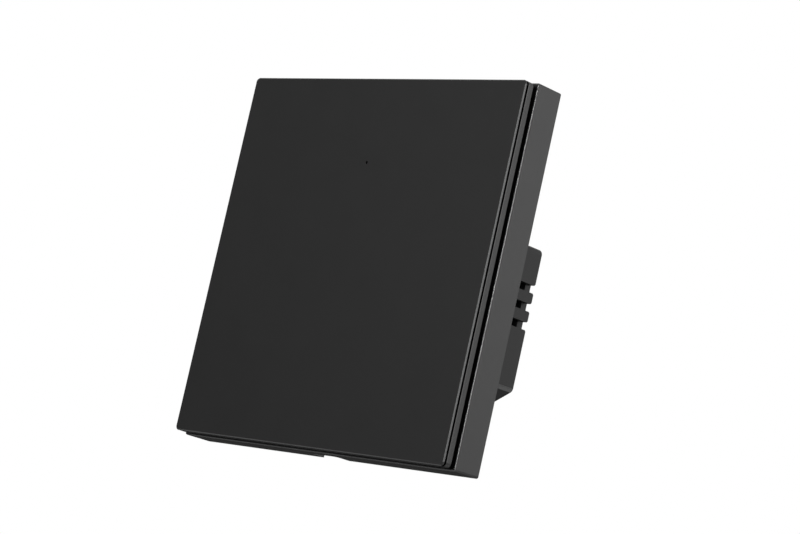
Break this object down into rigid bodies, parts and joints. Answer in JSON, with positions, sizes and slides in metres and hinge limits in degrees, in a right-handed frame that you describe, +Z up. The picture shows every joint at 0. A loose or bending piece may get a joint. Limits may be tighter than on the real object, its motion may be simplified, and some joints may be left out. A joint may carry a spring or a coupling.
{
  "type": "touch light switch",
  "caption": "Square flush wall light switch: full-face light-touch panel on a hinged tray, clip-on trim frame, steel mounting plate and rear housing with mains parts and clamp terminals.",
  "frame": {"origin": "wall plane, midway between the two fixing slots", "axes": "+X right seen from the room, +Y into the wall, +Z up"},
  "size_m": [0.086, 0.0364, 0.086],
  "materials": {
    "panel_black": "fine satin, moulded and coated",
    "tray_black": "fine moulded grain",
    "frame_black": "fine moulded grain",
    "housing_black": "moulded, slightly rougher",
    "clear_guide": "clear moulded",
    "bright_steel": "bright ground",
    "spring_steel": "drawn and rolled",
    "soft_pad": "soft matt",
    "zinc_plate": "zinc plated sheet",
    "screw_steel": "zinc plated",
    "board_green": "solder mask over glass fibre",
    "shield_tin": "tinned sheet",
    "switch_black": "moulded",
    "plunger_white": "moulded",
    "lamp_white": "cast resin",
    "sheet_grey": "pressed fibre sheet",
    "relay_case": "moulded",
    "ferrite": "sintered, matt",
    "can_sleeve": "shrunk sleeve",
    "film_case": "moulded",
    "varistor_blue": "dipped coating",
    "fuse_case": "moulded",
    "block_grey": "moulded",
    "tail_brass": "stamped, tinned at the foot",
    "clamp_zinc": "pressed and plated"
  },
  "bodies": {
    "base": {"mounting_plate": "zinc_plate", "frame_catches": "spring_steel", "inner_cover": "housing_black", "cover_screws": "screw_steel", "control_board": "board_green", "wireless_module": "shield_tin", "tact_switch": "switch_black", "status_led": "lamp_white", "board_header": "switch_black", "board_socket": "switch_black", "rear_housing": "housing_black", "insulating_sheet": "sheet_grey", "power_board": "board_green", "relay": "relay_case", "transformer": "ferrite", "bulk_capacitors": "can_sleeve", "film_capacitor": "film_case", "varistor": "varistor_blue", "fuse": "fuse_case", "bridge_rectifier": "switch_black", "filter_inductor": "ferrite", "terminal_block": "block_grey", "terminal_tails": "tail_brass"},
    "front_frame": {"trim_frame": "frame_black", "hinge_pins": "bright_steel", "buffer_pads": "soft_pad", "return_springs": "spring_steel"},
    "button": {"front_panel": "panel_black", "button_tray": "tray_black", "light_guide": "clear_guide"},
    "plunger": {"tact_plunger": "plunger_white"},
    "screw_1": {"terminal_screw_1": "screw_steel"},
    "clamp_1": {"terminal_clamp_1": "clamp_zinc"},
    "screw_2": {"terminal_screw_2": "screw_steel"},
    "clamp_2": {"terminal_clamp_2": "clamp_zinc"},
    "screw_3": {"terminal_screw_3": "screw_steel"},
    "clamp_3": {"terminal_clamp_3": "clamp_zinc"},
    "screw_4": {"terminal_screw_4": "screw_steel"},
    "clamp_4": {"terminal_clamp_4": "clamp_zinc"}
  },
  "joints": [
    {"name": "front_release", "type": "slide", "parent": "base", "child": "front_frame", "axis": [0, -1, 0], "range_m": [0, 0.02], "deforming": ["frame_catches"]},
    {"name": "button_press", "type": "hinge", "parent": "front_frame", "child": "button", "pos_m": [0, -0.0058, 0.036], "axis": [1, 0, 0], "range_deg": [0, 0.45], "stiffness_Nm_per_rad": 8, "springref_deg": -0.23, "deforming": ["return_springs"]},
    {"name": "plunger_travel", "type": "slide", "parent": "base", "child": "plunger", "axis": [0, 1, 0], "range_m": [0, 0.00031]},
    {"name": "screw_turn_1", "type": "hinge", "parent": "base", "child": "screw_1", "pos_m": [-0.012, 0.022, 0.0185], "axis": [0, -1, 0], "range_deg": [0, 1800]},
    {"name": "clamp_rise_1", "type": "slide", "parent": "base", "child": "clamp_1", "axis": [0, 1, 0], "range_m": [0, 0.003]},
    {"name": "screw_turn_2", "type": "hinge", "parent": "base", "child": "screw_2", "pos_m": [-0.004, 0.022, 0.0185], "axis": [0, -1, 0], "range_deg": [0, 1800]},
    {"name": "clamp_rise_2", "type": "slide", "parent": "base", "child": "clamp_2", "axis": [0, 1, 0], "range_m": [0, 0.003]},
    {"name": "screw_turn_3", "type": "hinge", "parent": "base", "child": "screw_3", "pos_m": [0.004, 0.022, 0.0185], "axis": [0, -1, 0], "range_deg": [0, 1800]},
    {"name": "clamp_rise_3", "type": "slide", "parent": "base", "child": "clamp_3", "axis": [0, 1, 0], "range_m": [0, 0.003]},
    {"name": "screw_turn_4", "type": "hinge", "parent": "base", "child": "screw_4", "pos_m": [0.012, 0.022, 0.0185], "axis": [0, -1, 0], "range_deg": [0, 1800]},
    {"name": "clamp_rise_4", "type": "slide", "parent": "base", "child": "clamp_4", "axis": [0, 1, 0], "range_m": [0, 0.003]}
  ],
  "couplings": [
    {"joint": "plunger_travel", "follows": "button_press", "m_per_rad": 0.038834},
    {"joint": "screw_turn_1", "follows": "clamp_rise_1", "rad_per_m": 10472},
    {"joint": "screw_turn_2", "follows": "clamp_rise_2", "rad_per_m": 10472},
    {"joint": "screw_turn_3", "follows": "clamp_rise_3", "rad_per_m": 10472},
    {"joint": "screw_turn_4", "follows": "clamp_rise_4", "rad_per_m": 10472}
  ]
}
